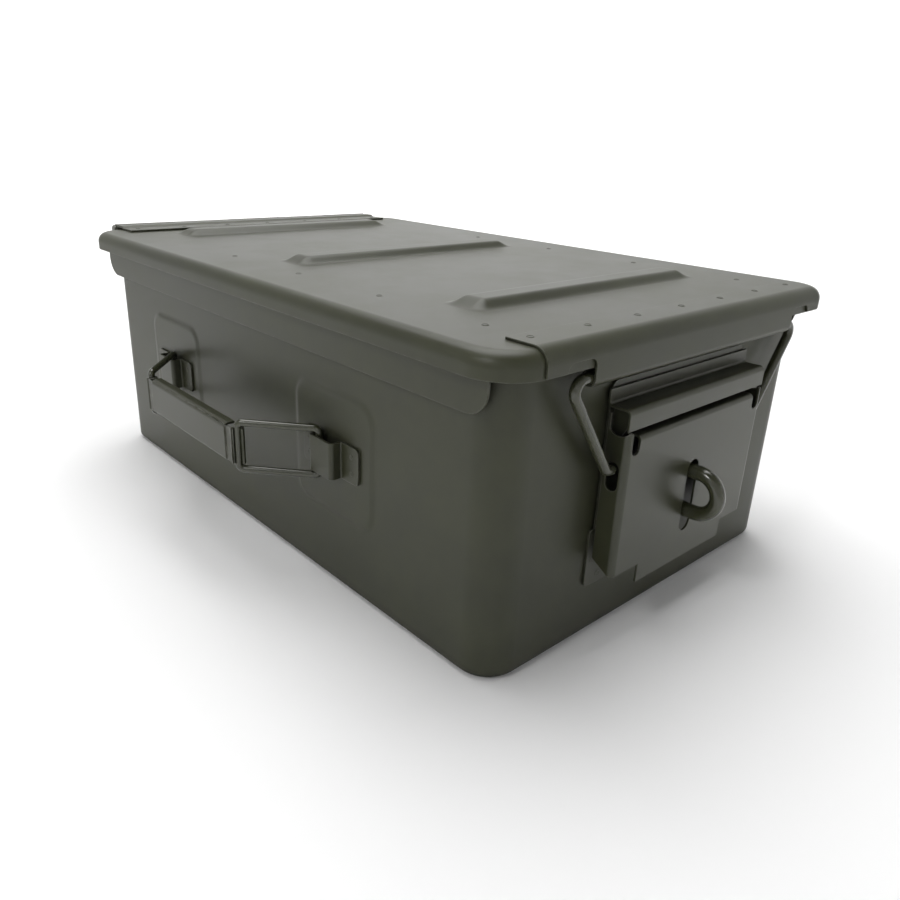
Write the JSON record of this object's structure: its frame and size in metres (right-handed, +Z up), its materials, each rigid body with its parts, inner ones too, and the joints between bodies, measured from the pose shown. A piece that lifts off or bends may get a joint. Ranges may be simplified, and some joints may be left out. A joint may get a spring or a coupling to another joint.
{
  "type": "steel storage box",
  "caption": "Rigid steel storage box with a gasketed hinged lid, an over-centre wire-bail latch, a padlock staple and folding strap handles on its long sides.",
  "frame": {"origin": "middle of the flat underside of the floor", "axes": "+X to the right across the width, +Y along the length from the latch end to the hinge end, +Z up"},
  "size_m": [0.3248, 0.4542, 0.1624],
  "materials": {
    "painted_body": "semi-gloss olive drab paint on pressed steel sheet",
    "painted_lid": "semi-gloss olive drab paint on pressed steel sheet",
    "painted_latch": "semi-gloss olive drab paint on formed steel sheet",
    "painted_handle": "semi-gloss olive drab paint on formed steel strap",
    "painted_rod": "semi-gloss olive drab paint on bent steel wire and rod",
    "gasket_rubber": "matt black sealing rubber"
  },
  "bodies": {
    "case": {"body_shell": "painted_body", "latch_catch_plate": "painted_body", "latch_catch_hood": "painted_latch", "padlock_staple": "painted_rod", "hinge_leaf_body": "painted_body", "hinge_pin": "painted_rod", "left_front_bracket": "painted_handle", "left_rear_bracket": "painted_handle", "right_front_bracket": "painted_handle", "right_rear_bracket": "painted_handle"},
    "lid": {"lid_pan": "painted_lid", "lid_apron_left": "painted_lid", "lid_apron_right": "painted_lid", "gasket_retainer": "painted_lid", "lid_gasket": "gasket_rubber", "lid_front_plate": "painted_lid", "hinge_leaf_lid": "painted_lid"},
    "bail": {"latch_bail": "painted_rod"},
    "lever": {"latch_lever": "painted_latch"},
    "left_grip_body": {"left_grip": "painted_handle"},
    "right_grip_body": {"right_grip": "painted_handle"},
    "left_front_link_body": {"left_front_link": "painted_rod"},
    "left_rear_link_body": {"left_rear_link": "painted_rod"},
    "right_front_link_body": {"right_front_link": "painted_rod"},
    "right_rear_link_body": {"right_rear_link": "painted_rod"}
  },
  "joints": [
    {"name": "lid_hinge", "type": "hinge", "parent": "case", "child": "lid", "pos_m": [0, 0.21608, 0.157], "axis": [-1, 0, 0], "range_deg": [0, 180]},
    {"name": "lever_swing", "type": "hinge", "parent": "case", "child": "lever", "pos_m": [0, -0.209, 0.118], "axis": [-1, 0, 0], "range_deg": [0, 95]},
    {"name": "bail_swing", "type": "hinge", "parent": "lid", "child": "bail", "pos_m": [0, -0.20822, 0.142], "axis": [-1, 0, 0], "range_deg": [0, 60]},
    {"name": "left_handle_fold", "type": "slide", "parent": "case", "child": "left_grip_body", "axis": [1, 0, 0], "range_m": [0, 0.027]},
    {"name": "right_handle_fold", "type": "slide", "parent": "case", "child": "right_grip_body", "axis": [-1, 0, 0], "range_m": [0, 0.027]},
    {"name": "left_front_link_turn", "type": "hinge", "parent": "left_grip_body", "child": "left_front_link_body", "pos_m": [-0.1588, -0.04542, 0.077], "axis": [0, 0, -1], "range_deg": [0, 40]},
    {"name": "left_rear_link_turn", "type": "hinge", "parent": "left_grip_body", "child": "left_rear_link_body", "pos_m": [-0.1588, 0.06342, 0.077], "axis": [0, 0, 1], "range_deg": [0, 40]},
    {"name": "right_front_link_turn", "type": "hinge", "parent": "right_grip_body", "child": "right_front_link_body", "pos_m": [0.1588, -0.04542, 0.077], "axis": [0, 0, 1], "range_deg": [0, 40]},
    {"name": "right_rear_link_turn", "type": "hinge", "parent": "right_grip_body", "child": "right_rear_link_body", "pos_m": [0.1588, 0.06342, 0.077], "axis": [0, 0, -1], "range_deg": [0, 40]}
  ],
  "couplings": [
    {"joint": "bail_swing", "follows": "lever_swing", "ratio": 0.62},
    {"joint": "left_front_link_turn", "follows": "left_handle_fold", "rad_per_m": 25.32},
    {"joint": "left_rear_link_turn", "follows": "left_handle_fold", "rad_per_m": 25.32},
    {"joint": "right_front_link_turn", "follows": "right_handle_fold", "rad_per_m": 25.32},
    {"joint": "right_rear_link_turn", "follows": "right_handle_fold", "rad_per_m": 25.32}
  ]
}
